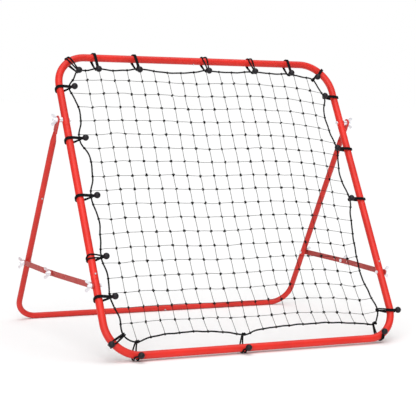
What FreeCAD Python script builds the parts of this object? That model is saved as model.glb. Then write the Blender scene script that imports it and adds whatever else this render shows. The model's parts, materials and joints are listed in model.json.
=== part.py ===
import FreeCAD, Part
import math
import os

Vector = FreeCAD.Vector

# A free standing ball rebounder: a square tube frame that leans back and holds a net, and a U shaped rear
# frame hinged to its uprights, held apart by a two-piece brace on each side. Millimetres, +X to the right
# seen from the front, +Y to the rear, +Z up, origin on the floor under the middle of the whole object.

# ---- driving dimensions ----
FRONT_TUBE_R = 11.0
REAR_TUBE_R = 9.0
TUBE_WALL = 1.2
JOINT_FIT = 0.05
JOINT_INSERT = 40.0
SWAGE_COLLAR = 6.0
SEAM_GAP = 0.5

FRAME_SIZE = 938.0
FRONT_BEND_R = 97.0
REAR_HALF_WIDTH = 493.2
REAR_BEND_R = 65.0
BASE_DEPTH = 712.8
FRONT_PIVOT_UP = 727.0
REAR_PIVOT_UP = 725.0

FRONT_LOW_SEAM = 228.0
FRONT_HIGH_SEAM = 707.0
FRONT_TOP_SEAM_X = -25.0
FRONT_BOTTOM_SEAM_X = -26.5
REAR_LOW_SEAM = 232.0
REAR_HIGH_SEAM = 443.0
REAR_BOTTOM_SEAM_X = 10.5
BUTTON_FROM_SEAM = 13.0

FRONT_BRACE_UP = 210.0
REAR_BRACE_UP = 212.0
BRACE_MID_FROM_REAR = 234.0
BAR_HEIGHT = 16.5
BAR_THICK = 2.5
BAR_END = 14.0
REAR_BAR_HOLE_FROM_REAR = 184.0
FRONT_BAR_HOLES_FROM_REAR = (266.0, 331.0)
BAR_FLAT_LENGTH = 18.0
BAR_BEND_LENGTH = 222.0

BOLT_R = 3.0
FIXED_HOLE_R = 3.1
TURNING_HOLE_R = 3.05
HEAD_ACROSS_FLATS = 10.0
HEAD_HEIGHT = 4.0
HEAD_CROWN_HEIGHT = 2.5
HEAD_CROWN_SPREAD = 1.3
THREAD_POINT = 0.8
SPACER_R = 8.0
GAP = 0.3
PIVOT_TIP_X = 509.5
FRONT_BRACE_TIP_X = 495.0
REAR_BRACE_TIP_X = 518.5

PLATE_THICK = 3.2
PLATE_HALF_WIDTH = 12.5
PLATE_START = 684.0
PINCH_START = 652.0
PINCH_MIDDLE = 668.0
PINCH_HALF_WIDTH = 11.6
PINCH_HALF_THICK = 5.6
PLATE_SPARE_HOLE_UP = 691.0
PLATE_SPARE_HOLE_R = 3.2

NUT_BASE_R = 6.6
NUT_TOP_R = 5.2
NUT_BASE_HEIGHT = 9.0
NUT_FLANGE_R = 7.4
NUT_FLANGE_HEIGHT = 1.4
WING_HALF_THICK = 1.5
WING_OUTLINE = ((1.0, 3.6), (2.2, 7.4), (10.2, 15.6))
WING_TIP = ((14.8, 17.4), (18.0, 14.6))
WING_INNER = ((17.2, 10.8), (12.0, 7.6), (8.8, 3.6))

BUTTON_R = 2.7
BUTTON_HOLE_R = 3.0
BUTTON_PROUD = 2.6
BUTTON_DOME = 1.25
STRIP_LENGTH = 26.0
STRIP_HALF_WIDTH = 2.6
STRIP_THICK = 0.8
STRIP_FOLD_R = 1.6
STRIP_DEPTH = 2.2

TIE_CORD_R = 2.3
TIE_STRAND_OFFSET = 4.2
TIE_GAP = 0.5
TIE_BALL_R = 9.5
ROPE_R = 2.3
NET_THICK = 1.0
NET_FORWARD = 6.0
ARC_SHARE = 0.45
MARGIN = 1.0

# Route of the border rope in the plane of the front frame: across from the middle, up from the bottom bar.
ROPE_ROUTE = (
    (-406, 887), (-372, 892), (-343, 898), (-290, 893), (-240, 897), (-210, 901), (-165, 897),
    (-115, 891), (-60, 891), (-10, 897), (25, 902), (70, 899), (130, 898), (189, 903), (250, 898),
    (320, 898), (365, 889), (405, 880), (417, 848), (430, 815), (417, 774), (413, 735), (417, 685),
    (427, 628), (416, 575), (413, 520), (425, 453), (412, 398), (402, 330), (395, 260), (394, 198),
    (406, 140), (420, 86), (411, 62), (396, 44), (335, 48), (262, 55), (190, 57), (120, 56), (45, 53),
    (-12, 46), (-50, 37), (-95, 46), (-160, 54), (-240, 56), (-310, 52), (-350, 46), (-381, 37),
    (-402, 43), (-419, 59), (-421, 112), (-437, 173), (-431, 232), (-441, 293), (-432, 347),
    (-427, 408), (-437, 480), (-421, 540), (-418, 602), (-440, 663), (-426, 715), (-424, 770),
    (-442, 832), (-422, 862))

# Ties by side: point on the tube's centreline, point where the rope is held, ball's place along the line
# from the tube to the rope (as a distance from the tube) and its distance in front of the tube's centre.
# Most balls sit in front of the rope, the lowest ones in front of the bar and two outside a lower corner.
BALL_IN_FRONT = NET_FORWARD + ROPE_R + 2 * TIE_CORD_R + TIE_GAP + TIE_BALL_R
LOW_BALL_ALONG = -8.0
LOW_BALL_FORWARD = 23.5
TIES = {
    "top": (
        ((-426, 921.6), (-406, 887), 38.0, BALL_IN_FRONT),
        ((-343, 938), (-343, 898), 44.0, BALL_IN_FRONT),
        ((-211, 938), (-210, 901), 42.0, BALL_IN_FRONT),
        ((25, 938), (25, 902), 39.0, BALL_IN_FRONT),
        ((187, 938), (189, 903), 36.0, BALL_IN_FRONT),
        ((323, 938), (320, 898), 38.0, BALL_IN_FRONT),
        ((440.6, 909.6), (405, 880), 34.0, BALL_IN_FRONT)),
    "right": (
        ((469, 815), (430, 815), 46.0, BALL_IN_FRONT),
        ((469, 628), (427, 628), 50.0, BALL_IN_FRONT),
        ((469, 453), (425, 453), 48.0, BALL_IN_FRONT),
        ((467.5, 80), (420, 86), -17.0, 18.1)),
    "bottom": (
        ((413, 9.1), (396, 44), 2.0, 24.8),
        ((-52, 0), (-50, 37), LOW_BALL_ALONG, LOW_BALL_FORWARD),
        ((-384, 0), (-381, 37), LOW_BALL_ALONG, LOW_BALL_FORWARD),
        ((-450.1, 39.4), (-419, 59), -16.0, 19.0)),
    "left": (
        ((-469, 173), (-437, 173), 41.0, BALL_IN_FRONT),
        ((-469, 293), (-441, 293), 37.0, BALL_IN_FRONT),
        ((-469, 480), (-437, 480), 44.0, BALL_IN_FRONT),
        ((-469, 663), (-440, 663), 42.0, BALL_IN_FRONT),
        ((-469, 832), (-442, 832), 38.0, BALL_IN_FRONT)),
}

# ---- worked out ----
HALF_FRAME = FRAME_SIZE / 2
FRONT_BAR_Z = FRONT_TUBE_R + TIE_GAP + 2 * TIE_CORD_R
REAR_BAR_Z = REAR_TUBE_R
BASE_LINE = math.hypot(BASE_DEPTH, REAR_BAR_Z - FRONT_BAR_Z)
BASE_TILT = math.atan2(REAR_BAR_Z - FRONT_BAR_Z, BASE_DEPTH)
FRONT_CORNER = math.acos((BASE_LINE**2 + FRONT_PIVOT_UP**2 - REAR_PIVOT_UP**2)
                         / (2 * BASE_LINE * FRONT_PIVOT_UP))
REAR_CORNER = math.acos((BASE_LINE**2 + REAR_PIVOT_UP**2 - FRONT_PIVOT_UP**2)
                        / (2 * BASE_LINE * REAR_PIVOT_UP))
FRONT_LEAN = math.pi / 2 - FRONT_CORNER - BASE_TILT
REAR_LEAN = math.pi / 2 - REAR_CORNER + BASE_TILT

# The foremost point is the front of the lowest balls and the rearmost is the back of the rear bar.
FRONT_REACH = (LOW_BALL_FORWARD * math.cos(FRONT_LEAN) - LOW_BALL_ALONG * math.sin(FRONT_LEAN)
               + TIE_BALL_R)
REAR_REACH = BASE_DEPTH + REAR_TUBE_R
FRONT_BAR_Y = -(REAR_REACH - FRONT_REACH) / 2
REAR_BAR_Y = FRONT_BAR_Y + BASE_DEPTH

FRONT_PLACE = FreeCAD.Placement(Vector(0, FRONT_BAR_Y, FRONT_BAR_Z),
                                FreeCAD.Rotation(Vector(1, 0, 0), -math.degrees(FRONT_LEAN)))
REAR_PLACE = FreeCAD.Placement(Vector(0, REAR_BAR_Y, REAR_BAR_Z),
                               FreeCAD.Rotation(Vector(1, 0, 0), math.degrees(REAR_LEAN)))

UPRIGHT_INNER_X = HALF_FRAME - FRONT_TUBE_R
UPRIGHT_OUTER_X = HALF_FRAME + FRONT_TUBE_R
LEG_INNER_X = REAR_HALF_WIDTH - REAR_TUBE_R
LEG_OUTER_X = REAR_HALF_WIDTH + REAR_TUBE_R
PLATE_INNER_X = REAR_HALF_WIDTH - PLATE_THICK / 2
PLATE_OUTER_X = REAR_HALF_WIDTH + PLATE_THICK / 2
REAR_BAR_INNER_X = LEG_OUTER_X + GAP
REAR_BAR_OUTER_X = REAR_BAR_INNER_X + BAR_THICK
FRONT_BAR_NEAR_X = UPRIGHT_OUTER_X + GAP
FRONT_BAR_FAR_X = REAR_BAR_INNER_X - 2 * GAP - BAR_THICK


def in_frame(place, x, up, back=0.0):
    """A point given in the plane of one of the two frames, in the object's own axes."""
    return place.multVec(Vector(x, back, up))


PIVOT = in_frame(FRONT_PLACE, 0, FRONT_PIVOT_UP)
FRONT_BRACE = in_frame(FRONT_PLACE, 0, FRONT_BRACE_UP)
REAR_BRACE = in_frame(REAR_PLACE, 0, REAR_BRACE_UP)
BRACE_LENGTH = FRONT_BRACE.distanceToPoint(REAR_BRACE)
BRACE_TILT = math.degrees(math.atan2(REAR_BRACE.z - FRONT_BRACE.z, REAR_BRACE.y - FRONT_BRACE.y))
BRACE_PLACE = FreeCAD.Placement(FRONT_BRACE, FreeCAD.Rotation(Vector(1, 0, 0), BRACE_TILT))
BRACE_MID_ALONG = BRACE_LENGTH - BRACE_MID_FROM_REAR
BRACE_MID = BRACE_PLACE.multVec(Vector(0, BRACE_MID_ALONG, 0))


# ---- helpers ----
def placed(shape, place):
    moved = shape.copy()
    moved.Placement = place.multiply(moved.Placement)
    return moved


def on_side(shape, side):
    """Shapes are drawn for the right side, +X; the left one is its mirror image."""
    if side == "right":
        return shape
    return shape.mirror(Vector(0, 0, 0), Vector(1, 0, 0))


def save(shape, node):
    shape.exportStep("parts/" + node + ".step")


def x_cylinder(radius, x_start, x_end, centre):
    return Part.makeCylinder(radius, x_end - x_start, Vector(x_start, centre.y, centre.z), Vector(1, 0, 0))


def swept_round(path, radius):
    """A round bar along a path of straight runs and tangent arcs."""
    first = path.OrderedEdges[0]
    start = first.valueAt(first.FirstParameter)
    heading = first.tangentAt(first.FirstParameter)
    section = Part.Wire(Part.makeCircle(radius, start, heading))
    return Part.Solid(path.makePipeShell([section], True, False).Shells[0])


def bend_path(start, corner, end, bend_r):
    """Two runs in the XZ plane joined by an arc of the given radius at the corner."""
    to_start = (start - corner).normalize()
    to_end = (end - corner).normalize()
    reach = bend_r / math.tan(to_start.getAngle(to_end) / 2)
    arc_start = corner + to_start * reach
    arc_end = corner + to_end * reach
    inward = (to_start + to_end).normalize()
    centre = corner + inward * math.hypot(reach, bend_r)
    arc_middle = centre - inward * bend_r
    edges = [Part.LineSegment(start, arc_start).toShape(),
             Part.Arc(arc_start, arc_middle, arc_end).toShape(),
             Part.LineSegment(arc_end, end).toShape()]
    return Part.Wire(edges)


def rounded_route(points):
    """A closed route through points, each corner an arc as large as its two runs allow."""
    count = len(points)
    corners = []
    for i, point in enumerate(points):
        before = points[i - 1] - point
        after = points[(i + 1) % count] - point
        reach = ARC_SHARE * min(before.Length, after.Length)
        start = point + before.normalize() * reach
        end = point + after.normalize() * reach
        half_turn = (math.pi - before.getAngle(after)) / 2
        radius = reach / math.tan(half_turn)
        to_centre = (before + after).normalize()
        middle = point + to_centre * (radius / math.cos(half_turn) - radius)
        corners.append((start, middle, end))
    edges = []
    for i, (start, middle, end) in enumerate(corners):
        edges.append(Part.Arc(start, middle, end).toShape())
        edges.append(Part.LineSegment(end, corners[(i + 1) % count][0]).toShape())
    return Part.Wire(edges)


def belt(far_centre, near_r, far_r, across):
    """A taut loop round two circles in the plane of the near centre, at the origin, and far_centre."""
    distance = far_centre.Length
    along = Vector(far_centre).normalize()
    side = across.cross(along)
    lean = math.acos((near_r - far_r) / distance)
    near = [along * (near_r * math.cos(lean)) + side * (near_r * math.sin(lean) * s) for s in (1, -1)]
    far = [far_centre + along * (far_r * math.cos(lean)) + side * (far_r * math.sin(lean) * s)
           for s in (1, -1)]
    edges = [Part.LineSegment(near[0], far[0]).toShape(),
             Part.Arc(far[0], far_centre + along * far_r, far[1]).toShape(),
             Part.LineSegment(far[1], near[1]).toShape(),
             Part.Arc(near[1], along * -near_r, near[0]).toShape()]
    return Part.Wire(edges)


# ---- tubes ----
def male_end(seam, heading, tube_r):
    """The reduced end that goes into the next tube, solid, from inside the collar to its open end."""
    male_r = tube_r - TUBE_WALL - JOINT_FIT
    return Part.makeCylinder(male_r, JOINT_INSERT + SWAGE_COLLAR, seam - heading * SWAGE_COLLAR, heading)


def male_bore(seam, heading, tube_r):
    bore_r = tube_r - 2 * TUBE_WALL - JOINT_FIT
    start = seam - heading * (2 * SWAGE_COLLAR)
    return Part.makeCylinder(bore_r, JOINT_INSERT + 4 * SWAGE_COLLAR, start, heading)


def tube(path_points, tube_r, bend_r=None, male_at_start=False, male_at_end=False):
    """A round tube with plain ends, or a reduced end past its first or last point and a gap before it."""
    start, end = path_points[0], path_points[-1]
    start_heading = (start - path_points[1]).normalize()
    end_heading = (end - path_points[-2]).normalize()
    outer_start = start - start_heading * (SEAM_GAP if male_at_start else 0)
    outer_end = end - end_heading * (SEAM_GAP if male_at_end else 0)
    bore_start = start + start_heading * (-SWAGE_COLLAR if male_at_start else MARGIN)
    bore_end = end + end_heading * (-SWAGE_COLLAR if male_at_end else MARGIN)
    if bend_r:
        outer = swept_round(bend_path(outer_start, path_points[1], outer_end, bend_r), tube_r)
        inner = swept_round(bend_path(bore_start, path_points[1], bore_end, bend_r), tube_r - TUBE_WALL)
    else:
        outer = Part.makeCylinder(tube_r, outer_start.distanceToPoint(outer_end), outer_start, end_heading)
        inner = Part.makeCylinder(tube_r - TUBE_WALL, bore_start.distanceToPoint(bore_end), bore_start,
                                  end_heading)
    for is_male, seam, heading in ((male_at_start, start, start_heading), (male_at_end, end, end_heading)):
        if is_male:
            outer = outer.fuse(male_end(seam, heading, tube_r))
            inner = inner.fuse(male_bore(seam, heading, tube_r))
    return outer.cut(inner)


def bolt_hole(up, radius=FIXED_HOLE_R):
    """A hole right across a side tube, drawn in the plane of its frame."""
    reach = REAR_HALF_WIDTH + 2 * REAR_TUBE_R
    return Part.makeCylinder(radius, 2 * reach, Vector(-reach, 0, up), Vector(1, 0, 0))


def button_hole(seat, outward):
    return Part.makeCylinder(BUTTON_HOLE_R, FRONT_TUBE_R + BUTTON_PROUD, seat, outward)


FRONTWARD = Vector(0, -1, 0)
REARWARD = Vector(0, 1, 0)
DOWNWARD = Vector(0, 0, -1)
TOP_BUTTON_SEAT = Vector(FRONT_TOP_SEAM_X + BUTTON_FROM_SEAM, 0, FRAME_SIZE)
BOTTOM_BUTTON_SEAT = Vector(FRONT_BOTTOM_SEAM_X + BUTTON_FROM_SEAM, 0, 0)
REAR_BUTTON_SEAT = Vector(REAR_BOTTOM_SEAM_X + BUTTON_FROM_SEAM, 0, 0)


def side_sign(side):
    return 1 if side == "right" else -1


def front_button_seat(side):
    return Vector(side_sign(side) * HALF_FRAME, 0, FRONT_LOW_SEAM + BUTTON_FROM_SEAM)


def leg_button_seat(side, seam):
    return Vector(side_sign(side) * REAR_HALF_WIDTH, 0, seam + BUTTON_FROM_SEAM)


def top_corner_tube(side):
    x = side_sign(side) * HALF_FRAME
    points = (Vector(x, 0, FRONT_HIGH_SEAM), Vector(x, 0, FRAME_SIZE),
              Vector(FRONT_TOP_SEAM_X, 0, FRAME_SIZE))
    shape = tube(points, FRONT_TUBE_R, FRONT_BEND_R, male_at_end=side == "left")
    shape = shape.cut(bolt_hole(FRONT_PIVOT_UP)).cut(button_hole(TOP_BUTTON_SEAT, DOWNWARD))
    return placed(shape, FRONT_PLACE)


def side_tube(side):
    x = side_sign(side) * HALF_FRAME
    shape = tube((Vector(x, 0, FRONT_LOW_SEAM), Vector(x, 0, FRONT_HIGH_SEAM)), FRONT_TUBE_R,
                 male_at_end=True)
    shape = shape.cut(bolt_hole(FRONT_PIVOT_UP)).cut(button_hole(front_button_seat(side), FRONTWARD))
    return placed(shape, FRONT_PLACE)


def bottom_corner_tube(side):
    x = side_sign(side) * HALF_FRAME
    points = (Vector(x, 0, FRONT_LOW_SEAM), Vector(x, 0, 0), Vector(FRONT_BOTTOM_SEAM_X, 0, 0))
    shape = tube(points, FRONT_TUBE_R, FRONT_BEND_R, male_at_start=True, male_at_end=side == "left")
    shape = shape.cut(bolt_hole(FRONT_BRACE_UP)).cut(button_hole(front_button_seat(side), FRONTWARD))
    shape = shape.cut(button_hole(BOTTOM_BUTTON_SEAT, REARWARD))
    return placed(shape, FRONT_PLACE)


def leg_button_outward(side, seam):
    """The left leg's upper button faces the front and the legs' other buttons face the rear."""
    return FRONTWARD if side == "left" and seam == REAR_HIGH_SEAM else REARWARD


def leg_button_hole(side, seam):
    return button_hole(leg_button_seat(side, seam), leg_button_outward(side, seam))


def rear_corner_tube(side):
    x = side_sign(side) * REAR_HALF_WIDTH
    points = (Vector(x, 0, REAR_LOW_SEAM), Vector(x, 0, 0), Vector(REAR_BOTTOM_SEAM_X, 0, 0))
    shape = tube(points, REAR_TUBE_R, REAR_BEND_R, male_at_start=True, male_at_end=side == "left")
    shape = shape.cut(bolt_hole(REAR_BRACE_UP)).cut(button_hole(REAR_BUTTON_SEAT, FRONTWARD))
    return placed(shape.cut(leg_button_hole(side, REAR_LOW_SEAM)), REAR_PLACE)


def middle_leg_tube(side):
    x = side_sign(side) * REAR_HALF_WIDTH
    shape = tube((Vector(x, 0, REAR_LOW_SEAM), Vector(x, 0, REAR_HIGH_SEAM)), REAR_TUBE_R, male_at_end=True)
    for seam in (REAR_LOW_SEAM, REAR_HIGH_SEAM):
        shape = shape.cut(leg_button_hole(side, seam))
    return placed(shape, REAR_PLACE)


def upper_leg_tube(side):
    """The leg's upper tube, pressed flat at its top into a drilled plate with a round end."""
    round_part = tube((Vector(REAR_HALF_WIDTH, 0, REAR_HIGH_SEAM), Vector(REAR_HALF_WIDTH, 0, PINCH_START)),
                      REAR_TUBE_R)
    round_start = Part.makeCircle(REAR_TUBE_R, Vector(REAR_HALF_WIDTH, 0, PINCH_START))
    round_start.rotate(Vector(REAR_HALF_WIDTH, 0, 0), Vector(0, 0, 1), 90.0)
    sections = [Part.Wire(round_start)]
    for up, half_width, half_thick in [(PINCH_MIDDLE, PINCH_HALF_WIDTH, PINCH_HALF_THICK),
                                       (PLATE_START, PLATE_HALF_WIDTH, PLATE_THICK / 2)]:
        oval = Part.Ellipse(Vector(REAR_HALF_WIDTH, half_width, up),
                            Vector(REAR_HALF_WIDTH + half_thick, 0, up), Vector(REAR_HALF_WIDTH, 0, up))
        sections.append(Part.Wire(oval.toShape()))
    pinch = Part.makeLoft(sections, True, False)
    plate = Part.makeBox(PLATE_THICK, 2 * PLATE_HALF_WIDTH, REAR_PIVOT_UP - PLATE_START,
                         Vector(PLATE_INNER_X, -PLATE_HALF_WIDTH, PLATE_START))
    round_end = Part.makeCylinder(PLATE_HALF_WIDTH, PLATE_THICK, Vector(PLATE_INNER_X, 0, REAR_PIVOT_UP),
                                  Vector(1, 0, 0))
    shape = round_part.fuse([pinch, plate, round_end])
    shape = shape.cut(bolt_hole(REAR_PIVOT_UP, TURNING_HOLE_R))
    shape = shape.cut(bolt_hole(PLATE_SPARE_HOLE_UP, PLATE_SPARE_HOLE_R))
    shape = on_side(shape, side).cut(leg_button_hole(side, REAR_HIGH_SEAM))
    return placed(shape, REAR_PLACE)


# ---- fasteners ----
def hex_head(x_start, centre):
    corner_r = HEAD_ACROSS_FLATS / math.sqrt(3)
    corners = []
    for i in range(7):
        angle = i * math.pi / 3
        corners.append(Vector(x_start, centre.y + corner_r * math.cos(angle),
                              centre.z + corner_r * math.sin(angle)))
    prism = Part.Face(Part.makePolygon(corners)).extrude(Vector(HEAD_HEIGHT, 0, 0))
    wide_r = corner_r + HEAD_CROWN_SPREAD
    crown = Part.makeCone(HEAD_ACROSS_FLATS / 2, wide_r, HEAD_CROWN_HEIGHT,
                          Vector(x_start, centre.y, centre.z), Vector(1, 0, 0))
    rest = x_cylinder(wide_r, x_start + HEAD_CROWN_HEIGHT, x_start + HEAD_HEIGHT + MARGIN, centre)
    return prism.common(crown.fuse(rest))


def threaded_end(centre, start_x, tip_x):
    """The bolt's shank from start_x to the point at its tip."""
    shank = x_cylinder(BOLT_R, start_x, tip_x - THREAD_POINT, centre)
    point = Part.makeCone(BOLT_R, BOLT_R - THREAD_POINT, THREAD_POINT,
                          Vector(tip_x - THREAD_POINT, centre.y, centre.z), Vector(1, 0, 0))
    return shank.fuse(point)


def bolt(centre, head_face_x, tip_x):
    """A hex bolt whose head bears on the inner side at head_face_x and whose thread ends at tip_x."""
    head = hex_head(head_face_x - HEAD_HEIGHT, centre)
    return head.fuse(threaded_end(centre, head_face_x - MARGIN, tip_x))


def wing_nut(centre, x_start):
    """A wing nut whose base starts at x_start, its two wings standing up and down and flared outwards."""
    flange = x_cylinder(NUT_FLANGE_R, x_start, x_start + NUT_FLANGE_HEIGHT, centre)
    body = Part.makeCone(NUT_BASE_R, NUT_TOP_R, NUT_BASE_HEIGHT, Vector(x_start, centre.y, centre.z),
                         Vector(1, 0, 0))
    pieces = [body]
    for up in (1, -1):
        def spot(pair):
            return Vector(x_start + pair[0], centre.y - WING_HALF_THICK, centre.z + up * pair[1])
        outer = [spot(pair) for pair in WING_OUTLINE]
        tip = [spot(pair) for pair in WING_TIP]
        inner = [spot(pair) for pair in WING_INNER]
        edges = [Part.LineSegment(outer[0], outer[1]).toShape(),
                 Part.LineSegment(outer[1], outer[2]).toShape(),
                 Part.Arc(outer[2], tip[0], tip[1]).toShape(),
                 Part.Arc(tip[1], inner[0], inner[1]).toShape(),
                 Part.LineSegment(inner[1], inner[2]).toShape(),
                 Part.LineSegment(inner[2], outer[0]).toShape()]
        pieces.append(Part.Face(Part.Wire(edges)).extrude(Vector(0, 2 * WING_HALF_THICK, 0)))
    solid = flange.fuse(pieces)
    return solid.cut(x_cylinder(TURNING_HOLE_R, x_start - MARGIN, x_start + NUT_BASE_HEIGHT + MARGIN, centre))


def pivot_spacer():
    ring = x_cylinder(SPACER_R, UPRIGHT_OUTER_X, PLATE_INNER_X - GAP, PIVOT)
    return ring.cut(x_cylinder(FIXED_HOLE_R, UPRIGHT_OUTER_X - MARGIN, PLATE_INNER_X, PIVOT))


def mid_bolt_end():
    """The threaded end of the brace's middle bolt, parted from its head end where the two bars meet."""
    return threaded_end(BRACE_MID, REAR_BAR_INNER_X - GAP / 2, REAR_BRACE_TIP_X)


def mid_bolt_head():
    head = hex_head(FRONT_BAR_FAR_X - HEAD_HEIGHT, BRACE_MID)
    shank = x_cylinder(BOLT_R, FRONT_BAR_FAR_X - MARGIN, FRONT_BAR_FAR_X + BAR_THICK + GAP, BRACE_MID)
    return head.fuse(shank)


def snap_button(seat, outward, along, tube_r, place):
    """A domed button and the bent spring strip under it, one stamped piece, seated in a tube joint."""
    bore_r = tube_r - 2 * TUBE_WALL - JOINT_FIT
    strip_face = bore_r - STRIP_DEPTH
    top = tube_r + BUTTON_PROUD
    post = Part.makeCylinder(BUTTON_R, top - strip_face, seat + outward * strip_face, outward)
    dome_r = BUTTON_DOME * BUTTON_R
    dome = Part.makeSphere(dome_r, seat + outward * (top - dome_r))
    below = Part.makeCylinder(BUTTON_R + MARGIN, top - BUTTON_R - strip_face, seat + outward * strip_face,
                              outward)
    button = post.common(dome.fuse(below))
    fold = seat + outward * (strip_face - STRIP_FOLD_R) + along * STRIP_LENGTH
    width = along.cross(outward)
    near_start = seat + outward * strip_face - along * BUTTON_R
    far_start = seat + outward * (strip_face - 2 * STRIP_FOLD_R) + along * BUTTON_R
    half = STRIP_THICK / 2

    def around(reach):
        return [fold + outward * reach, fold + along * reach, fold - outward * reach]

    outer = around(STRIP_FOLD_R + half)
    inner = around(STRIP_FOLD_R - half)
    edges = [Part.LineSegment(near_start + outward * half, outer[0]).toShape(),
             Part.Arc(*outer).toShape(),
             Part.LineSegment(outer[2], far_start - outward * half).toShape(),
             Part.LineSegment(far_start - outward * half, far_start + outward * half).toShape(),
             Part.LineSegment(far_start + outward * half, inner[2]).toShape(),
             Part.Arc(*inner[::-1]).toShape(),
             Part.LineSegment(inner[0], near_start - outward * half).toShape(),
             Part.LineSegment(near_start - outward * half, near_start + outward * half).toShape()]
    strip = Part.Face(Part.Wire(edges)).extrude(width * (2 * STRIP_HALF_WIDTH))
    strip.translate(width * -STRIP_HALF_WIDTH)
    return placed(button.fuse(strip), place)


# ---- braces ----
def bar_outline(start, end):
    """The side view of a brace bar, a strip with round ends, from start to end along the brace."""
    r = BAR_HEIGHT / 2
    first = start + r
    last = end - r
    edges = [Part.LineSegment(Vector(0, first, r), Vector(0, last, r)).toShape(),
             Part.Arc(Vector(0, last, r), Vector(0, end, 0), Vector(0, last, -r)).toShape(),
             Part.LineSegment(Vector(0, last, -r), Vector(0, first, -r)).toShape(),
             Part.Arc(Vector(0, first, -r), Vector(0, start, 0), Vector(0, first, r)).toShape()]
    return Part.Face(Part.Wire(edges)).extrude(Vector(REAR_BAR_OUTER_X + MARGIN, 0, 0))


def bar_hole(along, radius):
    return Part.makeCylinder(radius, REAR_BAR_OUTER_X + MARGIN, Vector(0, along, 0), Vector(1, 0, 0))


def front_brace_bar():
    """The inner bar, set outwards between its ends so that it meets the rear bar at the middle bolt."""
    start, end = -BAR_END, BRACE_MID_ALONG + BAR_END
    bend_start = BAR_FLAT_LENGTH
    bend_end = BAR_FLAT_LENGTH + BAR_BEND_LENGTH
    near = [(FRONT_BAR_NEAR_X, start), (FRONT_BAR_NEAR_X, bend_start), (FRONT_BAR_FAR_X, bend_end),
            (FRONT_BAR_FAR_X, end)]
    outline = near + [(x + BAR_THICK, y) for x, y in reversed(near)]
    corners = [Vector(x, y, -BAR_HEIGHT) for x, y in outline + outline[:1]]
    strip = Part.Face(Part.makePolygon(corners)).extrude(Vector(0, 0, 2 * BAR_HEIGHT))
    bar = strip.common(bar_outline(start, end))
    bar = bar.cut(bar_hole(0, TURNING_HOLE_R)).cut(bar_hole(BRACE_MID_ALONG, FIXED_HOLE_R))
    for from_rear in FRONT_BAR_HOLES_FROM_REAR:
        bar = bar.cut(bar_hole(BRACE_LENGTH - from_rear, FIXED_HOLE_R))
    return placed(bar, BRACE_PLACE)


def rear_brace_bar():
    """The outer bar, straight; its holes and the front bar's let the middle bolt be moved."""
    start = BRACE_MID_ALONG - BAR_END
    end = BRACE_LENGTH + BAR_END
    strip = Part.makeBox(BAR_THICK, end - start, 2 * BAR_HEIGHT,
                         Vector(REAR_BAR_INNER_X, start, -BAR_HEIGHT))
    bar = strip.common(bar_outline(start, end)).cut(bar_hole(BRACE_LENGTH, TURNING_HOLE_R))
    for from_rear in (REAR_BAR_HOLE_FROM_REAR, BRACE_MID_FROM_REAR):
        bar = bar.cut(bar_hole(BRACE_LENGTH - from_rear, FIXED_HOLE_R))
    return placed(bar, BRACE_PLACE)


# ---- net, rope and ties ----
def rope_wire():
    return rounded_route([Vector(x, -NET_FORWARD, up) for x, up in ROPE_ROUTE])


def border_rope():
    return placed(swept_round(rope_wire(), ROPE_R), FRONT_PLACE)


def net():
    """The net as one thin sheet out to the middle of its border rope."""
    sheet = Part.Face(rope_wire())
    sheet.translate(Vector(0, -NET_THICK / 2, 0))
    return placed(sheet.extrude(Vector(0, NET_THICK, 0)), FRONT_PLACE)


def tie_cords(side):
    """Each tie is a cord taken twice round the tube and the border rope."""
    strands = []
    for (tube_x, tube_up), (rope_x, rope_up), _, _ in TIES[side]:
        reach = Vector(rope_x - tube_x, -NET_FORWARD, rope_up - tube_up)
        across = Vector(rope_x - tube_x, 0, rope_up - tube_up).cross(FRONTWARD).normalize()
        loop = belt(reach, FRONT_TUBE_R + TIE_GAP + TIE_CORD_R, ROPE_R + GAP + TIE_CORD_R, across)
        strand = swept_round(loop, TIE_CORD_R)
        for shift in (TIE_STRAND_OFFSET, -TIE_STRAND_OFFSET):
            copy = strand.copy()
            copy.translate(Vector(tube_x, 0, tube_up) + across * shift)
            strands.append(placed(copy, FRONT_PLACE))
    return Part.makeCompound(strands)


def tie_balls(side):
    balls = []
    for (tube_x, tube_up), (rope_x, rope_up), along, forward in TIES[side]:
        inward = Vector(rope_x - tube_x, 0, rope_up - tube_up).normalize()
        centre = Vector(tube_x, 0, tube_up) + inward * along + FRONTWARD * forward
        balls.append(placed(Part.makeSphere(TIE_BALL_R, centre), FRONT_PLACE))
    return Part.makeCompound(balls)


# ---- build ----
def build_tubes():
    makers = {"top_corner_tube": top_corner_tube, "side_tube": side_tube,
              "bottom_corner_tube": bottom_corner_tube, "upper_leg_tube": upper_leg_tube,
              "middle_leg_tube": middle_leg_tube, "rear_corner_tube": rear_corner_tube}
    for name, maker in makers.items():
        for side in ("left", "right"):
            save(maker(side), name + "_" + side)


def build_fasteners():
    shapes = {
        "pivot_bolt": bolt(PIVOT, UPRIGHT_INNER_X, PIVOT_TIP_X),
        "pivot_spacer": pivot_spacer(),
        "pivot_wing_nut": wing_nut(PIVOT, PLATE_OUTER_X + GAP),
        "front_brace_bolt": bolt(FRONT_BRACE, UPRIGHT_INNER_X, FRONT_BRACE_TIP_X),
        "front_brace_wing_nut": wing_nut(FRONT_BRACE, FRONT_BAR_NEAR_X + BAR_THICK + GAP),
        "rear_brace_bolt": bolt(REAR_BRACE, LEG_INNER_X, REAR_BRACE_TIP_X),
        "rear_brace_wing_nut": wing_nut(REAR_BRACE, REAR_BAR_OUTER_X + GAP),
        "mid_brace_bolt": mid_bolt_head(),
        "mid_brace_bolt_end": mid_bolt_end(),
        "mid_brace_wing_nut": wing_nut(BRACE_MID, REAR_BAR_OUTER_X + GAP),
        "front_brace_bar": front_brace_bar(),
        "rear_brace_bar": rear_brace_bar(),
    }
    for name, shape in shapes.items():
        for side in ("left", "right"):
            save(on_side(shape, side), name + "_" + side)


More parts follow.
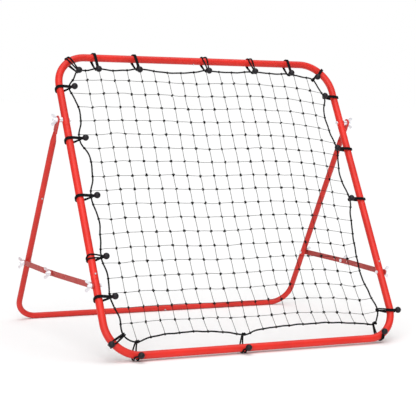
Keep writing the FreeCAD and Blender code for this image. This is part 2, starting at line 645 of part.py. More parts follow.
def build_buttons():
    up = Vector(0, 0, 1)
    right = Vector(1, 0, 0)
    save(snap_button(TOP_BUTTON_SEAT, DOWNWARD, right, FRONT_TUBE_R, FRONT_PLACE), "top_bar_button")
    save(snap_button(BOTTOM_BUTTON_SEAT, REARWARD, right, FRONT_TUBE_R, FRONT_PLACE), "bottom_bar_button")
    save(snap_button(REAR_BUTTON_SEAT, FRONTWARD, right, REAR_TUBE_R, REAR_PLACE), "rear_bar_button")
    for side in ("left", "right"):
        save(snap_button(front_button_seat(side), FRONTWARD, up, FRONT_TUBE_R, FRONT_PLACE),
             "side_tube_button_" + side)
        for name, seam in (("lower_leg_button_", REAR_LOW_SEAM), ("upper_leg_button_", REAR_HIGH_SEAM)):
            button = snap_button(leg_button_seat(side, seam), leg_button_outward(side, seam), up,
                                 REAR_TUBE_R, REAR_PLACE)
            save(button, name + side)


def build_net():
    save(net(), "net")
    save(border_rope(), "border_rope")
    for side in TIES:
        save(tie_cords(side), "tie_cords_" + side)
        save(tie_balls(side), "tie_balls_" + side)


os.makedirs("parts", exist_ok=True)
build_tubes()
build_fasteners()
build_buttons()
build_net()
print("leans", math.degrees(FRONT_LEAN), math.degrees(REAR_LEAN))
print("bars", FRONT_BAR_Y, FRONT_BAR_Z, REAR_BAR_Y, REAR_BAR_Z)
for label, point in (("pivot", PIVOT), ("front brace", FRONT_BRACE), ("rear brace", REAR_BRACE),
                     ("brace middle", BRACE_MID)):
    print(label, point.y, point.z)
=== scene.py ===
import json
import math

import bpy
import numpy as np
from mathutils import Matrix, Vector


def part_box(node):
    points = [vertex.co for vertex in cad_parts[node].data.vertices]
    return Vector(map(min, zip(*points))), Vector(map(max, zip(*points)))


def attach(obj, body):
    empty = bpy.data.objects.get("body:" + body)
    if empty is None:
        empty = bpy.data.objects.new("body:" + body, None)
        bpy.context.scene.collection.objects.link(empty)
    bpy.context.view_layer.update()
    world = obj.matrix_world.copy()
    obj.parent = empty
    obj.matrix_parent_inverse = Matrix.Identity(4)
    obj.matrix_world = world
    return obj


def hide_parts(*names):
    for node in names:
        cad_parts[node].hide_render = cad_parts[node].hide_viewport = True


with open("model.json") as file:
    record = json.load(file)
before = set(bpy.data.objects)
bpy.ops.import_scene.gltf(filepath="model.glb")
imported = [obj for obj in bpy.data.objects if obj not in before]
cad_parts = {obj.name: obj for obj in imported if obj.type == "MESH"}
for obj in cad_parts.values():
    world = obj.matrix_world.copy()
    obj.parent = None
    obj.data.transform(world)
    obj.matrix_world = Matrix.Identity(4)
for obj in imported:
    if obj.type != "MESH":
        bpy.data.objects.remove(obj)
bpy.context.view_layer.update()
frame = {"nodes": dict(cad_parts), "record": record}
record = frame["record"]
RANDOM = np.random.default_rng(20)

# A free standing ball rebounder: red tube frames, a black knotted net in a twisted border rope, elastic
# cord ties with plastic balls, zinc plated bolts and wing nuts. Metres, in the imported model's own frame.

MM = 0.001
FRONT_TUBE_R = 11 * MM
ROPE_R = 2.3 * MM
CORD_R = 2.3 * MM
TWINE_R = 0.75 * MM
KNOT_TWINE_R = 1.2 * MM
BALL_R = 9.5 * MM
NET_FORWARD = 6 * MM
NET_KNOTS = 18

# The mesh: its first knot, its pitch, how far its columns lean to the left on the way down, and how far its
# rows fall near the middle, at the left edge and at the right edge.
NET_LEFT = -380 * MM
NET_TOP = 860 * MM
NET_PITCH_ACROSS = 44.85 * MM
NET_PITCH_UP = 45.0 * MM
LEAN_LEFT_EDGE = 10 * MM
LEAN_EXTRA_RIGHT = 13 * MM
LEAN_ROWS = 13
LEAN_KEPT_AT_FOOT = 0.75
FALL_MIDDLE = 5 * MM
FALL_MIDDLE_COLUMN = 8
FALL_MIDDLE_SPREAD = 2.5
FALL_LEFT_EDGE = 3 * MM
FALL_RIGHT_EDGE = 20 * MM
FALL_RIGHT_POWER = 8

# Where the mesh is tied to the rope: the right hand ends of the upper rows are lower than their last knots,
# those of the other rows are higher, and the feet of the columns are to the right of theirs.
RIGHT_DROP_ROWS = 12
RIGHT_TIE_DROP = 8 * MM
RIGHT_TIE_RISE = 6 * MM
FOOT_TIE_SHIFT = 6 * MM

# Chance in the net. KNOT_JITTER and TWINE_BOW are standard deviations, of each knot's place in the net's
# plane (half as much forward of it) and of the bow in each length of twine. KNOT_TURN is the most, in
# radians, that a knot is turned about each of two axes.
KNOT_JITTER = 0.7 * MM
TWINE_BOW = 0.7 * MM
KNOT_TURN = 6.28
FORWARD_SHARE = 0.5

# The scale of a knot's outline: its loop reaches about three times as far from its middle.
KNOT_SIZE = 1.35 * MM

# A ball: the height of its parting line as a part of its radius, that line's width as an angle, and how far
# from its middle the bottom of each dimple is, as a part of its radius.
SEAM_HEIGHT = 0.012
SEAM_WIDTH = 0.05
DIMPLE_DEPTH_AT = 0.86

# The rope: its laid strands, the length of one whole turn of the lay, and the small kinks along it.
ROPE_STRANDS = 3
ROPE_LAY = 13 * MM
ROPE_SIDES = 15
ROPE_WANDER = 0.8 * MM
ROPE_WAVES = (31, 47, 71)

# How finely the soft pieces are drawn.
ROPE_STEP = 1.6 * MM
FINE_ROPE_STEP = 1.0 * MM
CORD_STEP = 1.6 * MM
CORD_SIDES = 10
TWINE_SIDES = 6
SPLINE_STEPS = 16
TWINE_POINTS = 5
KNOT_POINTS = 24
HITCH_POINTS = 14
BALL_RINGS = 18
BALL_SIDES = 28

# Slanting directions, each crossed with a path's own direction to give the first side of a ring.
SWEEP_SLANT = [0.31, 0.87, 0.38]
HITCH_SLANT = [0.31, 0.17, 0.94]
BALL_SLANT = [0.2, 0.5, 0.84]

# The border rope's route in the plane of the front frame: across from the middle, up from the bottom bar.
ROPE_ROUTE = [
    (-0.406, 0.887), (-0.372, 0.892), (-0.343, 0.898), (-0.290, 0.893), (-0.240, 0.897), (-0.210, 0.901),
    (-0.165, 0.897), (-0.115, 0.891), (-0.060, 0.891), (-0.010, 0.897), (0.025, 0.902), (0.070, 0.899),
    (0.130, 0.898), (0.189, 0.903), (0.250, 0.898), (0.320, 0.898), (0.365, 0.889), (0.405, 0.880),
    (0.417, 0.848), (0.430, 0.815), (0.417, 0.774), (0.413, 0.735), (0.417, 0.685), (0.427, 0.628),
    (0.416, 0.575), (0.413, 0.520), (0.425, 0.453), (0.412, 0.398), (0.402, 0.330), (0.395, 0.260),
    (0.394, 0.198), (0.406, 0.140), (0.420, 0.086), (0.411, 0.062), (0.396, 0.044), (0.335, 0.048),
    (0.262, 0.055), (0.190, 0.057), (0.120, 0.056), (0.045, 0.053), (-0.012, 0.046), (-0.050, 0.037),
    (-0.095, 0.046), (-0.160, 0.054), (-0.240, 0.056), (-0.310, 0.052), (-0.350, 0.046), (-0.381, 0.037),
    (-0.402, 0.043), (-0.419, 0.059), (-0.421, 0.112), (-0.437, 0.173), (-0.431, 0.232), (-0.441, 0.293),
    (-0.432, 0.347), (-0.427, 0.408), (-0.437, 0.480), (-0.421, 0.540), (-0.418, 0.602), (-0.440, 0.663),
    (-0.426, 0.715), (-0.424, 0.770), (-0.442, 0.832), (-0.422, 0.862)]

# How far the balls hang below their ties, by side.
BALL_DROOP = {"top": 6 * MM, "left": 5 * MM, "right": 1.5 * MM, "bottom": 0.0}

# A ball's distance is counted from the tube towards the rope, so it is negative beyond the tube. A tie whose
# ball is at less than LOW_BALL is a low tie, and if it is at less than CORNER_BALL it is a corner tie too.
LOW_BALL = 10 * MM
CORNER_BALL = -12 * MM

# Ties by side: tube point and rope point in metres, then in millimetres the ball's distance from the tube
# towards the rope and in front of it, the distance between the middles of the two strands on the tube's
# front, and how far along the tube the return strands are moved. On low ties that aren't corner ties the
# front strands are moved with them. Strands that are SIDE_BY_SIDE touch. RETURN_HALF_GAP is half the
# distance between the return strands of a tie that isn't low.
BALL_FRONT = 22.9
SIDE_BY_SIDE = 4.6
RETURN_HALF_GAP = 2.2
TIES = {
    "top": [
        ((-0.4260, 0.9216), (-0.406, 0.887), 38, BALL_FRONT, 10, 2),
        ((-0.343, 0.938), (-0.343, 0.898), 44, BALL_FRONT, SIDE_BY_SIDE, -4),
        ((-0.211, 0.938), (-0.210, 0.901), 42, BALL_FRONT, SIDE_BY_SIDE, -4),
        ((0.025, 0.938), (0.025, 0.902), 39, BALL_FRONT, 14, -4),
        ((0.187, 0.938), (0.189, 0.903), 36, BALL_FRONT, 11.5, -4),
        ((0.323, 0.938), (0.320, 0.898), 38, BALL_FRONT, SIDE_BY_SIDE, -4),
        ((0.440, 0.910), (0.405, 0.880), 34, BALL_FRONT, SIDE_BY_SIDE, 0)],
    "right": [
        ((0.469, 0.815), (0.430, 0.815), 46, BALL_FRONT, SIDE_BY_SIDE, -7),
        ((0.469, 0.628), (0.427, 0.628), 50, BALL_FRONT, SIDE_BY_SIDE, -7),
        ((0.469, 0.453), (0.425, 0.453), 48, BALL_FRONT, SIDE_BY_SIDE, -7),
        ((0.4675, 0.080), (0.420, 0.086), -17, 18.1, SIDE_BY_SIDE, -5)],
    "bottom": [
        ((0.413, 0.0091), (0.396, 0.044), 2, 24.8, 8, 6),
        ((-0.052, 0.000), (-0.050, 0.037), -8, 23.5, 10, 5),
        ((-0.384, 0.000), (-0.381, 0.037), -8, 23.5, 13, 7),
        ((-0.4501, 0.0394), (-0.419, 0.059), -16, 19, 10, 0)],
    "left": [
        ((-0.469, 0.173), (-0.437, 0.173), 41, BALL_FRONT, SIDE_BY_SIDE, -6),
        ((-0.469, 0.293), (-0.441, 0.293), 37, BALL_FRONT, 10.9, -6),
        ((-0.469, 0.480), (-0.437, 0.480), 44, BALL_FRONT, SIDE_BY_SIDE, -6),
        ((-0.469, 0.663), (-0.440, 0.663), 42, BALL_FRONT, SIDE_BY_SIDE, -6),
        ((-0.469, 0.832), (-0.442, 0.832), 38, BALL_FRONT, SIDE_BY_SIDE, -6)]}


# ---- the front frame's plane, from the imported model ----
def joint_place(name):
    """Where a joint's axis passes."""
    for joint in record["behaviour"]["joints"]:
        if joint["name"] == name:
            return Vector(joint["pos_m"])
    raise SystemExit("no joint named " + name)


def mount_y(name):
    """How far back a mount is."""
    for mount in record["mounts"]:
        if mount["name"] == name:
            return mount["pos_m"][1]
    raise SystemExit("no mount named " + name)


PIVOT = joint_place("rear_frame_fold")
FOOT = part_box("bottom_corner_tube_left")[0][2]
FRONT_BAR = Vector((0, mount_y("front_bar_rest"), FOOT + FRONT_TUBE_R))
UP = (PIVOT - FRONT_BAR).normalized()
RIGHT = Vector((1, 0, 0))
FORWARD = RIGHT.cross(UP)
TO_WORLD = np.array([RIGHT, UP, FORWARD])


def to_world(points):
    """Points given as (across, up, forward) from the middle of the bottom bar, in the object's axes."""
    return np.asarray(points, float) @ TO_WORLD + np.array(FRONT_BAR)


# ---- mesh helpers ----
def unit(v):
    """Vectors of length one."""
    return v / np.maximum(np.linalg.norm(v, axis=-1, keepdims=True), 1e-12)


def smooth_path(points, step, closed=False):
    """Points at an even step on a centripetal spline through the given points."""
    points = np.asarray(points, float)
    if closed:
        ring = np.concatenate([points[-1:], points, points[:2]])
    else:
        ring = np.concatenate([2 * points[:1] - points[1:2], points, 2 * points[-1:] - points[-2:-1]])
    fine = []
    for before, start, end, after in zip(ring, ring[1:], ring[2:], ring[3:]):
        knots = [0.0]
        for a, b in ((before, start), (start, end), (end, after)):
            knots.append(knots[-1] + max(np.linalg.norm(b - a), 1e-9) ** 0.5)
        t0, t1, t2, t3 = knots
        for t in np.linspace(t1, t2, SPLINE_STEPS, endpoint=False):
            a1 = (t1 - t) / (t1 - t0) * before + (t - t0) / (t1 - t0) * start
            a2 = (t2 - t) / (t2 - t1) * start + (t - t1) / (t2 - t1) * end
            a3 = (t3 - t) / (t3 - t2) * end + (t - t2) / (t3 - t2) * after
            b1 = (t2 - t) / (t2 - t0) * a1 + (t - t0) / (t2 - t0) * a2
            b2 = (t3 - t) / (t3 - t1) * a2 + (t - t1) / (t3 - t1) * a3
            fine.append((t2 - t) / (t2 - t1) * b1 + (t - t1) / (t2 - t1) * b2)
    fine.append(ring[1] if closed else points[-1])
    fine = np.array(fine)
    along = np.concatenate([[0], np.cumsum(np.linalg.norm(np.diff(fine, axis=0), axis=1))])
    count = max(int(round(along[-1] / step)), 4)
    wanted = np.linspace(0, along[-1], count + 1)
    path = np.stack([np.interp(wanted, along, fine[:, k]) for k in range(3)], axis=1)
    return path[:-1] if closed else path


def path_frames(path, closed):
    """A tangent and two normals at each point, carried along without twisting.

    On a closed path the normals are turned evenly, so that the last meets the first.
    """
    if closed:
        tangent = unit(np.roll(path, -1, axis=0) - np.roll(path, 1, axis=0))
    else:
        tangent = unit(np.gradient(path, axis=0))
    start = np.cross(tangent[0], SWEEP_SLANT)
    normals = [unit(start)]
    for t in tangent[1:]:
        n = normals[-1] - t * (normals[-1] @ t)
        normals.append(unit(n))
    normal = np.array(normals)
    if closed:
        last = normal[-1] - tangent[0] * (normal[-1] @ tangent[0])
        last = unit(last)
        side = np.cross(tangent[0], normal[0])
        turn = math.atan2(last @ side, last @ normal[0])
        angle = -turn * np.arange(len(path)) / len(path)
        side = np.cross(tangent, normal)
        normal = normal * np.cos(angle)[:, None] + side * np.sin(angle)[:, None]
    return tangent, normal, np.cross(tangent, normal)


def sweep(path, ring, closed=False, twist=0.0):
    """Vertices and faces of a ring of (a, b) pairs carried along a path.

    The twist is in radians per metre. On a closed path it is rounded, so that the rope's strands meet.
    """
    path = np.asarray(path, float)
    ring = np.asarray(ring, float)
    count, sides = len(path), len(ring)
    _, normal, side = path_frames(path, closed)
    lengths = np.concatenate([[0], np.cumsum(np.linalg.norm(np.diff(path, axis=0), axis=1))])
    if closed and twist:
        whole = lengths[-1] + np.linalg.norm(path[0] - path[-1])
        strand_turn = 2 * math.pi / ROPE_STRANDS
        twist = round(whole * twist / strand_turn) * strand_turn / whole
    angle = lengths * twist
    a = ring[None, :, 0] * np.cos(angle)[:, None] - ring[None, :, 1] * np.sin(angle)[:, None]
    b = ring[None, :, 0] * np.sin(angle)[:, None] + ring[None, :, 1] * np.cos(angle)[:, None]
    vertices = path[:, None] + a[..., None] * normal[:, None] + b[..., None] * side[:, None]
    vertices = vertices.reshape(-1, 3)
    faces = []
    if closed and twist:
        moved = int(round(whole * twist / (2 * math.pi) * sides)) % sides
    else:
        moved = 0
    for i in range(count if closed else count - 1):
        j = (i + 1) % count
        shift = moved if closed and j == 0 else 0
        for k in range(sides):
            k2 = (k + 1) % sides
            faces.append((i * sides + k, i * sides + k2,
                          j * sides + (k2 + shift) % sides, j * sides + (k + shift) % sides))
    if not closed:
        faces.append(tuple(range(sides))[::-1])
        faces.append(tuple((count - 1) * sides + k for k in range(sides)))
    return vertices, faces


def circle(radius, sides):
    """A round ring of (a, b) pairs."""
    angle = np.arange(sides) * 2 * math.pi / sides
    return np.stack([radius * np.cos(angle), radius * np.sin(angle)], axis=1)


def join(parts):
    """One list of vertices and one of faces from several."""
    vertices, faces, start = [], [], 0
    for v, f in parts:
        vertices.append(np.asarray(v))
        faces.extend([tuple(start + i for i in face) for face in f])
        start += len(v)
    return np.concatenate(vertices), faces


def piece(name, parts, material, body, node):
    """A new object from vertices and faces, riding on a body and replacing a CAD node."""
    vertices, faces = join(parts)
    mesh = bpy.data.meshes.new(name)
    mesh.from_pydata(vertices.tolist(), [], faces)
    mesh.update()
    mesh.shade_smooth()
    mesh.materials.append(material)
    made = bpy.data.objects.new(name, mesh)
    bpy.context.scene.collection.objects.link(made)
    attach(made, body)
    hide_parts(node)
    return made


# ---- materials ----
def new_material(name):
    """A material with its nodes, its links and its shader."""
    material = bpy.data.materials.new(name)
    material.use_nodes = True
    nodes = material.node_tree.nodes
    return material, nodes, material.node_tree.links, nodes["Principled BSDF"]


def noise(nodes, links, scale, detail=3.0, roughness=0.5):
    """A noise texture in the object's own coordinates."""
    texture = nodes.new("ShaderNodeTexNoise")
    texture.inputs["Scale"].default_value = scale
    texture.inputs["Detail"].default_value = detail
    texture.inputs["Roughness"].default_value = roughness
    place = nodes.new("ShaderNodeTexCoord")
    links.new(place.outputs["Object"], texture.inputs["Vector"])
    return texture


def ramp(nodes, links, source, stops):
    """A colour ramp between two stops, each a position and a colour."""
    node = nodes.new("ShaderNodeValToRGB")
    for element, (position, colour) in zip(node.color_ramp.elements, stops):
        element.position = position
        element.color = (*colour, 1)
    links.new(source, node.inputs["Fac"])
    return node


def bump(nodes, links, source, strength, distance, shader):
    """Fine relief on a shader's normal."""
    node = nodes.new("ShaderNodeBump")
    node.inputs["Strength"].default_value = strength
    node.inputs["Distance"].default_value = distance
    links.new(source, node.inputs["Height"])
    links.new(node.outputs["Normal"], shader.inputs["Normal"])


def paint(name, colour, roughness, coat):
    """Powder coat: a slow drift in colour, fine orange peel and a thin clear coat."""
    material, nodes, links, shader = new_material(name)
    drift = noise(nodes, links, 9.0, 4.0)
    dark = [c * 0.90 for c in colour]
    light = [min(c * 1.06, 1.0) for c in colour]
    tint = ramp(nodes, links, drift.outputs["Fac"], [(0.35, dark), (0.65, light)])
    links.new(tint.outputs["Color"], shader.inputs["Base Color"])
    gloss = noise(nodes, links, 60.0, 2.0)
    stops = [(0.3, [roughness * 0.85] * 3), (0.7, [roughness * 1.2] * 3)]
    spread = ramp(nodes, links, gloss.outputs["Fac"], stops)
    links.new(spread.outputs["Color"], shader.inputs["Roughness"])
    peel = noise(nodes, links, 420.0, 2.0)
    bump(nodes, links, peel.outputs["Fac"], 0.10, 0.0006, shader)
    shader.inputs["Coat Weight"].default_value = coat
    shader.inputs["Coat Roughness"].default_value = 0.2
    shader.inputs["Specular IOR Level"].default_value = 0.3
    return material


def zinc(name, dark, light):
    """Zinc plating: faint spangle, fine scratches."""
    material, nodes, links, shader = new_material(name)
    cloud = noise(nodes, links, 160.0, 3.0)
    tint = ramp(nodes, links, cloud.outputs["Fac"], [(0.3, dark), (0.7, light)])
    links.new(tint.outputs["Color"], shader.inputs["Base Color"])
    spread = ramp(nodes, links, cloud.outputs["Fac"], [(0.3, [0.42] * 3), (0.7, [0.28] * 3)])
    links.new(spread.outputs["Color"], shader.inputs["Roughness"])
    grain = noise(nodes, links, 1200.0, 2.0)
    bump(nodes, links, grain.outputs["Fac"], 0.15, 0.0002, shader)
    shader.inputs["Metallic"].default_value = 0.65
    return material


def fibre(name, dark, light, scale, roughness=0.8):
    """Black braided or twisted fibre: fine matt strands."""
    material, nodes, links, shader = new_material(name)
    strands = noise(nodes, links, scale, 4.0, 0.6)
    tint = ramp(nodes, links, strands.outputs["Fac"], [(0.3, dark), (0.75, light)])
    links.new(tint.outputs["Color"], shader.inputs["Base Color"])
    shader.inputs["Roughness"].default_value = roughness
    shader.inputs["Specular IOR Level"].default_value = 0.05
    bump(nodes, links, strands.outputs["Fac"], 0.5, 0.0004, shader)
    return material


def moulded():
    """Dark moulded plastic with a slight satin grain."""
    material, nodes, links, shader = new_material("moulded_ball_plastic")
    cloud = noise(nodes, links, 240.0, 3.0)
    stops = [(0.3, (0.007, 0.006, 0.008)), (0.7, (0.016, 0.014, 0.018))]
    tint = ramp(nodes, links, cloud.outputs["Fac"], stops)
    links.new(tint.outputs["Color"], shader.inputs["Base Color"])
    spread = ramp(nodes, links, cloud.outputs["Fac"], [(0.3, [0.38] * 3), (0.7, [0.50] * 3)])
    shader.inputs["Specular IOR Level"].default_value = 0.22
    links.new(spread.outputs["Color"], shader.inputs["Roughness"])
    bump(nodes, links, cloud.outputs["Fac"], 0.2, 0.0003, shader)
    return material


FRONT_PAINT = paint("front_red_paint", (0.67, 0.023, 0.014), 0.42, 0.06)
# The rear frame's red is the front frame's red made darker: painted shade on the rear legs and bar.
REAR_PAINT_DARKENED_AS_SHADE = paint("rear_red_paint_painted_shade", (0.58, 0.024, 0.016), 0.44, 0.06)
# The braces' red is the front frame's red made darker, as painted shade, and paler in hue, as painted sheen
# on the flat bars.
BRACE_PAINT_SHADE_AND_SHEEN = paint("brace_red_paint_shade_and_sheen", (0.44, 0.050, 0.042), 0.5, 0.05)
ZINC = zinc("bright_zinc", (0.80, 0.81, 0.86), (0.94, 0.94, 0.97))
# The snap buttons take the bolts' zinc made much darker: painted shade on the buttons, whatever the name of
# their slot.
BUTTON_ZINC_PAINTED_SHADE = zinc("button_steel", (0.44, 0.43, 0.45), (0.58, 0.57, 0.60))
ROPE_FIBRE = fibre("rope_fibre", (0.003, 0.003, 0.0035), (0.016, 0.016, 0.018), 900.0)
CORD_FIBRE = fibre("elastic_cord_fibre", (0.003, 0.003, 0.0035), (0.014, 0.014, 0.016), 1400.0, 0.6)
TWINE_FIBRE = fibre("twine_fibre", (0.005, 0.005, 0.005), (0.024, 0.024, 0.024), 1600.0)
BALL_PLASTIC = moulded()

SLOT_MATERIALS = {"front_paint": FRONT_PAINT, "rear_paint": REAR_PAINT_DARKENED_AS_SHADE, "brace_paint": BRACE_PAINT_SHADE_AND_SHEEN,
                  "zinc_plate": ZINC, "button_steel": BUTTON_ZINC_PAINTED_SHADE, "net_twine": TWINE_FIBRE,
                  "border_rope": ROPE_FIBRE, "tie_cord": CORD_FIBRE, "tie_ball": BALL_PLASTIC}


def dress_cad_nodes():
    """Each CAD node keeps its shape and takes the material of its slot."""
    for part in record["subparts"]:
        for material_slot in frame["nodes"][part["node"]].material_slots:
            material_slot.material = SLOT_MATERIALS[part["material_slot"]]


# ---- border rope ----
def rope_path(step):
    """The rope's middle, with small kinks made by a few waves along it."""
    points = [(x, up, NET_FORWARD) for x, up in ROPE_ROUTE]
    path = smooth_path(points, step, closed=True)
    share = np.arange(len(path)) / len(path)
    for waves in ROPE_WAVES:
        turn = 2 * math.pi * waves * share
        path[:, 0] += ROPE_WANDER / 2 * np.sin(turn + waves)
        path[:, 1] += ROPE_WANDER / 2 * np.cos(turn)
    return path


def border_rope():
    """Three strands laid together: one ring with a lobe for each strand, twisted as it goes."""
    angle = np.arange(ROPE_SIDES) * 2 * math.pi / ROPE_SIDES
    radius = ROPE_R * (1.02 + 0.15 * np.cos(ROPE_STRANDS * angle))
    ring = np.stack([radius * np.cos(angle), radius * np.sin(angle)], axis=1)
    path = rope_path(ROPE_STEP)
    shape = sweep(to_world(path), ring, closed=True, twist=2 * math.pi / ROPE_LAY)
    return piece("twisted_border_rope", [shape], ROPE_FIBRE, "front_frame", "border_rope")


# ---- net ----
def knot_place(row, column):
    """A knot's place across and up, its row counted from the top and its column from the left."""
    share = column / (NET_KNOTS - 1)
    lean = (1 - math.cos(math.pi * min(row / LEAN_ROWS, 1))) / 2
    if row >= NET_KNOTS - 2:
        lean *= LEAN_KEPT_AT_FOOT
    across = NET_LEFT + NET_PITCH_ACROSS * column - (LEAN_LEFT_EDGE + LEAN_EXTRA_RIGHT * share) * lean
    middle = math.exp(-((column - FALL_MIDDLE_COLUMN) / FALL_MIDDLE_SPREAD) ** 2)
    up = NET_TOP - NET_PITCH_UP * row - FALL_RIGHT_EDGE * share ** FALL_RIGHT_POWER - FALL_MIDDLE * middle
    if column == 0:
        up -= FALL_LEFT_EDGE
    return across, up


def on_rope(path, side, value):
    """The index of the rope's point on one side of the net, at the given place along that side."""
    axis = 1 if side in ("left", "right") else 0
    other = 1 - axis
    outward = 1 if side in ("right", "top") else -1
    middle = 0 if other == 0 else (path[:, 1].min() + path[:, 1].max()) / 2
    reach = np.abs(path[:, axis] - value)
    reach = np.where((path[:, other] - middle) * outward > 0, reach, np.inf)
    near = np.flatnonzero(reach < reach.min() + MM)
    return int(near[np.argmax(path[near, other] * outward)])


def net_knots(path):
    """Points [row from the top, column from the left] with the places on the rope round them."""
    count = NET_KNOTS + 2
    grid = np.zeros((count, count, 3))
    for row in range(NET_KNOTS):
        for column in range(NET_KNOTS):
            grid[row + 1, column + 1] = (*knot_place(row, column), NET_FORWARD)
    jitter = RANDOM.normal(0, KNOT_JITTER, (NET_KNOTS, NET_KNOTS, 3))
    grid[1:-1, 1:-1] += jitter * np.array([1, 1, FORWARD_SHARE])
    stations = []
    last = NET_KNOTS - 1
    for i in range(NET_KNOTS):
        right_up = knot_place(i, last)[1] + (-RIGHT_TIE_DROP if i < RIGHT_DROP_ROWS else RIGHT_TIE_RISE)
        for cell, side, value in (((i + 1, 0), "left", knot_place(i, 0)[1]),
                                  ((i + 1, -1), "right", right_up),
                                  ((0, i + 1), "top", knot_place(0, i)[0]),
                                  ((-1, i + 1), "bottom", knot_place(last, i)[0] + FOOT_TIE_SHIFT)):
            index = on_rope(path, side, value)
            grid[cell] = path[index]
            stations.append(index)
    return grid, stations


def hitch(path, index):
    """The twine's two turns round the border rope where it is tied on."""
    tangent = unit(path[(index + 1) % len(path)] - path[index - 1])
    normal = unit(np.cross(tangent, HITCH_SLANT))
    side = np.cross(tangent, normal)
    angle = np.arange(HITCH_POINTS) * 2 * math.pi / HITCH_POINTS
    radius = ROPE_R + TWINE_R * 0.8
    ring = (np.cos(angle)[:, None] * normal + np.sin(angle)[:, None] * side) * radius
    turns = []
    for offset in (-TWINE_R, TWINE_R):
        turn = to_world(ring + path[index] + tangent * offset)
        turns.append(sweep(turn, circle(TWINE_R * 1.3, TWINE_SIDES), closed=True))
    return turns


def twine(start, end, bow):
    """One length of twine between two knots, slightly bowed."""
    path = []
    for share in np.linspace(0, 1, TWINE_POINTS):
        path.append(start * (1 - share) + end * share + bow * math.sin(math.pi * share))
    return sweep(np.array(path), circle(TWINE_R, TWINE_SIDES))


def knot(centre):
    """A small tight knot: a trefoil of twine, turned by chance."""
    t = np.linspace(0, 2 * math.pi, KNOT_POINTS + 1)[:-1]
    loop = np.stack([np.sin(t) + 2 * np.sin(2 * t), np.cos(t) - 2 * np.cos(2 * t), -np.sin(3 * t)], axis=1)
    loop *= KNOT_SIZE
    turn_y = Matrix.Rotation(RANDOM.uniform(0, KNOT_TURN), 3, "Y")
    turn_x = Matrix.Rotation(RANDOM.uniform(0, KNOT_TURN), 3, "X")
    loop = loop @ np.array(turn_y @ turn_x)
    return sweep(loop + centre, circle(KNOT_TWINE_R, TWINE_SIDES), closed=True)


def net():
    """The whole net: lengths of twine, knots, and a hitch wherever it is tied to the rope."""
    path = rope_path(FINE_ROPE_STEP)
    grid, stations = net_knots(path)
    world = to_world(grid.reshape(-1, 3)).reshape(grid.shape)
    parts = []
    count = NET_KNOTS + 2
    for row in range(count):
        for column in range(count):
            here = world[row, column]
            if 1 <= row < count - 1 and column < count - 1:
                parts.append(twine(here, world[row, column + 1], RANDOM.normal(0, TWINE_BOW, 3)))
            if 1 <= column < count - 1 and row < count - 1:
                parts.append(twine(here, world[row + 1, column], RANDOM.normal(0, TWINE_BOW, 3)))
    for row in range(1, count - 1):
        for column in range(1, count - 1):
            parts.append(knot(world[row, column]))
    for index in stations:
        parts.extend(hitch(path, index))
    return piece("knotted_twine_net", parts, TWINE_FIBRE, "front_frame", "net")


# ---- ties ----
def nearest(path, point):
    """The path's point nearest to a place across and up."""
    return path[np.argmin(np.linalg.norm(path[:, :2] - np.asarray(point), axis=1))]


def tie_pieces(tie, rope, side):
    """The cord and ball of one tie, ready in the object's axes.

    Its turns are given in parts of reach and hug, the distances at which the cord's round section touches
    the tube's and that of a plain rope. The lobes of the laid rope sink a little into it.
    """
    tube_at, rope_at, along, front, gap, shift = tie
    tube_at = np.array([*tube_at, 0.0])
    held = nearest(rope, rope_at)
    forward = np.array([0.0, 0.0, 1.0])
    inward = held - tube_at
    inward[2] = 0
    inward = unit(inward)
    across = np.cross(forward, inward)
    reach = FRONT_TUBE_R + CORD_R
    low = along * MM < LOW_BALL
    corner = along * MM < CORNER_BALL
    droop = 0.0 if low else BALL_DROOP[side]
    ball = tube_at + inward * along * MM + forward * front * MM - np.array([0.0, droop, 0.0])
    hug = ROPE_R + CORD_R
    strands = []
    for sign in (1, -1):
        spread = across * (sign * gap / 2 + (shift if low and not corner else 0)) * MM
        back = across * (sign * (gap / 2 if low else RETURN_HALF_GAP) + shift) * MM
        tight = across * sign * CORD_R
        round_tube = [tube_at - inward * reach * 0.72 + forward * reach * 0.72 + spread,
                      tube_at - inward * reach + (spread + back) / 2,
                      tube_at - inward * reach * 0.68 - forward * reach * 0.74 + back,
                      tube_at - forward * reach + inward * 3 * MM + back]
        round_rope = [held - forward * hug + back * 0.35,
                      held + inward * hug * 0.95 - forward * 0.5 * MM + tight * 1.1,
                      held + forward * hug + inward * 0.5 * MM + tight * 1.2]
        if corner:
            over = tube_at + forward * reach + spread
            strands.append([ball + tight, over, *round_rope[::-1], *round_tube[:0:-1]])
        elif low:
            neck = ball - forward * BALL_R * 0.6
            strands.append([ball + tight, neck + tight, *round_tube, *round_rope])
        else:
            neck = ball - inward * BALL_R * 0.75 - forward * BALL_R * 0.4
            over = tube_at + forward * reach + inward * 3 * MM + spread
            strands.append([ball + tight, neck + tight, over, *round_tube, *round_rope])
    if corner:
        meet = tube_at - inward * (reach + MM) + forward * 3 * MM
    else:
        meet = held + forward * (hug + 1.5 * MM) - inward * 4 * MM
    path = strands[0] + [meet] + strands[1][::-1]
    cord = sweep(to_world(smooth_path(path, CORD_STEP)), circle(CORD_R, CORD_SIDES))
    return cord, ball_shape(to_world(ball), to_world(ball + inward) - to_world(ball))


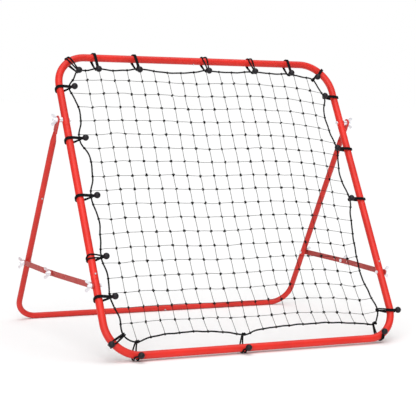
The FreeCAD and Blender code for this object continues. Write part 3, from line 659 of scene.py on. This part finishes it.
def ball_shape(centre, axis):
    """A moulded ball with a parting line round it and a dimple at each end of its bore."""
    axis = unit(np.asarray(axis))
    side = unit(np.cross(axis, BALL_SLANT))
    other = np.cross(axis, side)
    rings, sides = BALL_RINGS, BALL_SIDES
    vertices = []
    faces = []
    for i in range(1, rings):
        polar = math.pi * i / rings
        radius = BALL_R * (1 + SEAM_HEIGHT * math.exp(-((polar - math.pi / 2) / SEAM_WIDTH) ** 2))
        for k in range(sides):
            turn = 2 * math.pi * k / sides
            vertices.append(centre + axis * radius * math.cos(polar)
                            + (side * math.cos(turn) + other * math.sin(turn)) * radius * math.sin(polar))
    for i in range(rings - 2):
        for k in range(sides):
            k2 = (k + 1) % sides
            faces.append((i * sides + k, (i + 1) * sides + k, (i + 1) * sides + k2, i * sides + k2))
    for sign, start in ((1, 0), (-1, (rings - 2) * sides)):
        tip = len(vertices)
        vertices.append(centre + axis * sign * BALL_R * DIMPLE_DEPTH_AT)
        for k in range(sides):
            k2 = (k + 1) % sides
            face = (start + k, start + k2, tip)
            faces.append(face if sign > 0 else face[::-1])
    return np.array(vertices), faces


def ties():
    """The ties of each side: one piece for their cords and one for their balls."""
    rope = rope_path(FINE_ROPE_STEP)
    for side, rows in TIES.items():
        made = [tie_pieces(row, rope, side) for row in rows]
        cords = [cord for cord, _ in made]
        balls = [ball for _, ball in made]
        piece("elastic_ties_" + side, cords, CORD_FIBRE, "front_frame", "tie_cords_" + side)
        piece("bungee_balls_" + side, balls, BALL_PLASTIC, "front_frame", "tie_balls_" + side)


# ---- studio ----
FLOOR_SIZE = 60
FLOOR_DROP = 0.5 * MM
ROOM_LIGHT = 0.24
CAMERA_PLACE = (-1.8682, -3.6902, 0.7788)
CAMERA_ANGLES = (26.744, -5.495, 1.549)
CAMERA_LENS = 117.335


def floor():
    """A pale floor just under the object."""
    bpy.ops.mesh.primitive_plane_add(size=FLOOR_SIZE, location=(0, 0, -FLOOR_DROP))
    plane = bpy.context.object
    plane.name = "studio_floor"
    material, _, _, shader = new_material("pale_floor")
    shader.inputs["Base Color"].default_value = (0.93, 0.93, 0.93, 1)
    shader.inputs["Roughness"].default_value = 0.9
    plane.data.materials.append(material)


def room():
    """White where the camera sees it, and a weak white light for everything else."""
    world = bpy.data.worlds.new("studio")
    world.use_nodes = True
    nodes, links = world.node_tree.nodes, world.node_tree.links
    seen = nodes["Background"]
    seen.inputs["Color"].default_value = (1, 1, 1, 1)
    glow = nodes.new("ShaderNodeBackground")
    glow.inputs["Color"].default_value = (1, 1, 1, 1)
    glow.inputs["Strength"].default_value = ROOM_LIGHT
    path = nodes.new("ShaderNodeLightPath")
    mix = nodes.new("ShaderNodeMixShader")
    links.new(path.outputs["Is Camera Ray"], mix.inputs["Fac"])
    links.new(glow.outputs["Background"], mix.inputs[1])
    links.new(seen.outputs["Background"], mix.inputs[2])
    links.new(mix.outputs["Shader"], nodes["World Output"].inputs["Surface"])
    bpy.context.scene.world = world


def sun(name, towards, strength, spread):
    """A wide soft sun in the given direction, its spread in degrees."""
    light = bpy.data.lights.new(name, "SUN")
    light.energy = strength
    light.angle = math.radians(spread)
    lamp = bpy.data.objects.new(name, light)
    lamp.rotation_euler = Vector(towards).to_track_quat("Z", "Y").to_euler()
    bpy.context.scene.collection.objects.link(lamp)


def studio():
    """The floor, the room and two suns."""
    floor()
    room()
    sun("key", (-0.42, -0.72, 0.55), 2.1, 55)
    sun("top", (0.1, -0.05, 1), 1.7, 70)


def camera():
    """The camera, aimed by a turn from straight back, a tilt and a roll."""
    yaw, pitch, roll = (math.radians(angle) for angle in CAMERA_ANGLES)
    forward = Vector((math.sin(yaw) * math.cos(pitch), math.cos(yaw) * math.cos(pitch), math.sin(pitch)))
    level = Vector((math.cos(yaw), -math.sin(yaw), 0))
    up = level.cross(forward)
    right = level * math.cos(roll) + up * math.sin(roll)
    up = up * math.cos(roll) - level * math.sin(roll)
    data = bpy.data.cameras.new("camera")
    data.lens = CAMERA_LENS
    data.clip_end = 100
    eye = bpy.data.objects.new("camera", data)
    aim = Matrix((right, up, -forward)).transposed().to_4x4()
    eye.matrix_world = Matrix.Translation(CAMERA_PLACE) @ aim
    bpy.context.scene.collection.objects.link(eye)
    bpy.context.scene.camera = eye


camera()
studio()
bpy.context.scene.view_settings.view_transform = "Standard"
dress_cad_nodes()
border_rope()
net()
ties()
